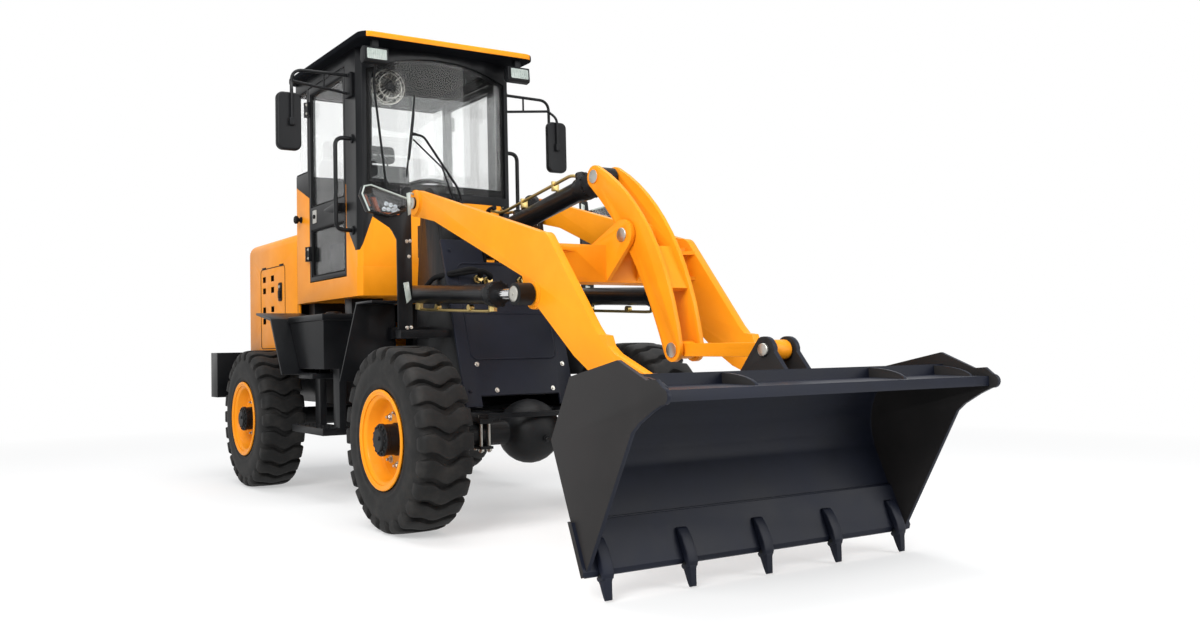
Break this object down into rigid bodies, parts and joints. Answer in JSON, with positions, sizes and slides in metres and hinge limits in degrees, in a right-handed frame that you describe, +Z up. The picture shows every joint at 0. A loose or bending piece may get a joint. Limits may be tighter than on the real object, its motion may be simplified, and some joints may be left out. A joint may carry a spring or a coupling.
{
  "type": "compact wheel loader",
  "caption": "Compact articulated wheel loader with a closed cab, lugged tyres, a cranked boom on twin lift cylinders and a toothed bucket on a Z-bar linkage.",
  "frame": {"origin": "on the ground under the middle of the machine's box", "axes": "+X forward, +Y to the machine's left, +Z up"},
  "size_m": [4.9224, 1.9, 2.58],
  "materials": {
    "yellow_paint": "gloss enamel",
    "black_paint": "satin enamel",
    "cast_black": "painted casting",
    "bright_steel": "turned and zinc plated",
    "hard_chrome": "ground and hard chromed",
    "tyre_rubber": "moulded rubber",
    "window_glass": "clear toughened glass",
    "black_plastic": "moulded",
    "seat_cover": "vinyl over foam"
  },
  "bodies": {
    "rear_half": {"rear_frame": "black_paint", "counterweight": "black_paint", "engine": "cast_black", "hood": "yellow_paint", "rear_grille": "black_paint", "cab_base": "yellow_paint", "cab_frame": "black_paint", "roof": "yellow_paint", "cab_glass": "window_glass", "seat": "seat_cover", "console": "black_plastic", "steering_wheel": "black_plastic", "rear_axle": "cast_black", "rear_fenders": "black_paint", "side_steps": "black_paint", "mirrors": "black_plastic", "work_lamps": "black_plastic", "handrails": "black_paint"},
    "front_half": {"front_frame": "black_paint", "front_cover": "black_paint", "front_axle": "cast_black", "front_fenders": "black_paint", "headlamps": "black_plastic", "tilt_base_pin": "bright_steel"},
    "wheel_front_right": {"tyre_front_right": "tyre_rubber", "wheel_front_right": "yellow_paint"},
    "wheel_front_left": {"tyre_front_left": "tyre_rubber", "wheel_front_left": "yellow_paint"},
    "wheel_rear_right": {"tyre_rear_right": "tyre_rubber", "wheel_rear_right": "yellow_paint"},
    "wheel_rear_left": {"tyre_rear_left": "tyre_rubber", "wheel_rear_left": "yellow_paint"},
    "boom": {"boom": "yellow_paint", "rocker_pin": "bright_steel", "bucket_pins": "bright_steel"},
    "rocker": {"rocker": "yellow_paint"},
    "bucket": {"bucket": "black_paint", "bucket_teeth": "cast_black", "link_pin": "bright_steel"},
    "tilt_link": {"tilt_link": "yellow_paint"},
    "tilt_barrel": {"tilt_barrel": "black_paint"},
    "tilt_piston": {"tilt_piston": "bright_steel"},
    "tilt_rod": {"tilt_rod": "hard_chrome"},
    "lift_barrel_right": {"lift_barrel_right": "black_paint"},
    "lift_barrel_left": {"lift_barrel_left": "black_paint"},
    "lift_rod_right": {"lift_rod_right": "hard_chrome"},
    "lift_rod_left": {"lift_rod_left": "hard_chrome"},
    "steer_barrel_right": {"steer_barrel_right": "black_paint"},
    "steer_barrel_left": {"steer_barrel_left": "black_paint"},
    "steer_rod_right": {"steer_rod_right": "hard_chrome"},
    "steer_rod_left": {"steer_rod_left": "hard_chrome"},
    "door_right": {"door_right": "black_paint", "door_glass_right": "window_glass"},
    "door_left": {"door_left": "black_paint", "door_glass_left": "window_glass"}
  },
  "joints": [
    {"name": "wheel_front_right_spin", "type": "hinge", "parent": "front_half", "child": "wheel_front_right", "pos_m": [0.46867, -0.675, 0.43], "axis": [0, 1, 0], "continuous": true},
    {"name": "wheel_front_left_spin", "type": "hinge", "parent": "front_half", "child": "wheel_front_left", "pos_m": [0.46867, 0.675, 0.43], "axis": [0, 1, 0], "continuous": true},
    {"name": "wheel_rear_right_spin", "type": "hinge", "parent": "rear_half", "child": "wheel_rear_right", "pos_m": [-1.61133, -0.675, 0.43], "axis": [0, 1, 0], "continuous": true},
    {"name": "wheel_rear_left_spin", "type": "hinge", "parent": "rear_half", "child": "wheel_rear_left", "pos_m": [-1.61133, 0.675, 0.43], "axis": [0, 1, 0], "continuous": true},
    {"name": "steer", "type": "hinge", "parent": "rear_half", "child": "front_half", "pos_m": [-0.57133, 0, 0.65], "axis": [0, 0, 1], "range_deg": [-35, 35]},
    {"name": "boom_lift", "type": "hinge", "parent": "front_half", "child": "boom", "pos_m": [0.04867, 0, 1.6], "axis": [0, -1, 0], "range_deg": [0, 62]},
    {"name": "bucket_tilt", "type": "hinge", "parent": "boom", "child": "bucket", "pos_m": [1.85467, 0, 0.684], "axis": [0, 1, 0], "range_deg": [-90, 0]},
    {"name": "rocker_swing", "type": "hinge", "parent": "boom", "child": "rocker", "pos_m": [1.36267, 0, 1.308], "axis": [0, -1, 0], "range_deg": [-40, 1]},
    {"name": "link_swing", "type": "hinge", "parent": "bucket", "child": "tilt_link", "pos_m": [2.12941, 0, 0.8155], "axis": [0, -1, 0], "range_deg": [-67, 1]},
    {"name": "tilt_barrel_swing", "type": "hinge", "parent": "front_half", "child": "tilt_barrel", "pos_m": [0.08867, 0, 1.423], "axis": [0, -1, 0], "range_deg": [-1, 60]},
    {"name": "tilt_piston_slide", "type": "slide", "parent": "tilt_barrel", "child": "tilt_piston", "axis": [0.9874, 0, 0.1583], "range_m": [-0.005, 0.174]},
    {"name": "tilt_rod_slide", "type": "slide", "parent": "tilt_piston", "child": "tilt_rod", "axis": [0.9874, 0, 0.1583], "range_m": [-0.005, 0.2398]},
    {"name": "lift_barrel_right_swing", "type": "hinge", "parent": "front_half", "child": "lift_barrel_right", "pos_m": [0.08867, -0.455, 1.125], "axis": [0, -1, 0], "range_deg": [-1, 56]},
    {"name": "lift_rod_right_slide", "type": "slide", "parent": "lift_barrel_right", "child": "lift_rod_right", "axis": [0.9984, 0, -0.0557], "range_m": [-0.005, 0.4691]},
    {"name": "steer_barrel_right_swing", "type": "hinge", "parent": "rear_half", "child": "steer_barrel_right", "pos_m": [-1.13133, -0.13, 0.745], "axis": [0, 0, 1], "range_deg": [-8, 8]},
    {"name": "steer_rod_right_slide", "type": "slide", "parent": "steer_barrel_right", "child": "steer_rod_right", "axis": [0.9944, -0.1055, 0], "range_m": [-0.1179, 0.1179]},
    {"name": "door_right_swing", "type": "hinge", "parent": "rear_half", "child": "door_right", "pos_m": [-1.22233, -0.514, 1.85], "axis": [0, 0, -1], "range_deg": [0, 95]},
    {"name": "lift_barrel_left_swing", "type": "hinge", "parent": "front_half", "child": "lift_barrel_left", "pos_m": [0.08867, 0.455, 1.125], "axis": [0, -1, 0], "range_deg": [-1, 56]},
    {"name": "lift_rod_left_slide", "type": "slide", "parent": "lift_barrel_left", "child": "lift_rod_left", "axis": [0.9984, 0, -0.0557], "range_m": [-0.005, 0.4691]},
    {"name": "steer_barrel_left_swing", "type": "hinge", "parent": "rear_half", "child": "steer_barrel_left", "pos_m": [-1.13133, 0.13, 0.745], "axis": [0, 0, 1], "range_deg": [-8, 8]},
    {"name": "steer_rod_left_slide", "type": "slide", "parent": "steer_barrel_left", "child": "steer_rod_left", "axis": [0.9944, 0.1055, 0], "range_m": [-0.1179, 0.1179]},
    {"name": "door_left_swing", "type": "hinge", "parent": "rear_half", "child": "door_left", "pos_m": [-1.22233, 0.514, 1.85], "axis": [0, 0, 1], "range_deg": [0, 95]}
  ],
  "couplings": [
    {"joint": "rocker_swing", "follows": "bucket_tilt", "ratio": 0.42881},
    {"joint": "link_swing", "follows": "bucket_tilt", "ratio": 0.72816},
    {"joint": "tilt_barrel_swing", "follows": "boom_lift", "ratio": 0.93571},
    {"joint": "tilt_piston_slide", "follows": "boom_lift", "m_per_rad": 0.15616},
    {"joint": "tilt_rod_slide", "follows": "bucket_tilt", "m_per_rad": -0.14951},
    {"joint": "lift_barrel_right_swing", "follows": "boom_lift", "ratio": 0.8833},
    {"joint": "lift_rod_right_slide", "follows": "boom_lift", "m_per_rad": 0.42892},
    {"joint": "steer_barrel_right_swing", "follows": "steer", "ratio": 0.1795},
    {"joint": "steer_rod_right_slide", "follows": "steer", "m_per_rad": 0.18489},
    {"joint": "lift_barrel_left_swing", "follows": "boom_lift", "ratio": 0.8833},
    {"joint": "lift_rod_left_slide", "follows": "boom_lift", "m_per_rad": 0.42892},
    {"joint": "steer_barrel_left_swing", "follows": "steer", "ratio": 0.1795},
    {"joint": "steer_rod_left_slide", "follows": "steer", "m_per_rad": -0.18489}
  ]
}
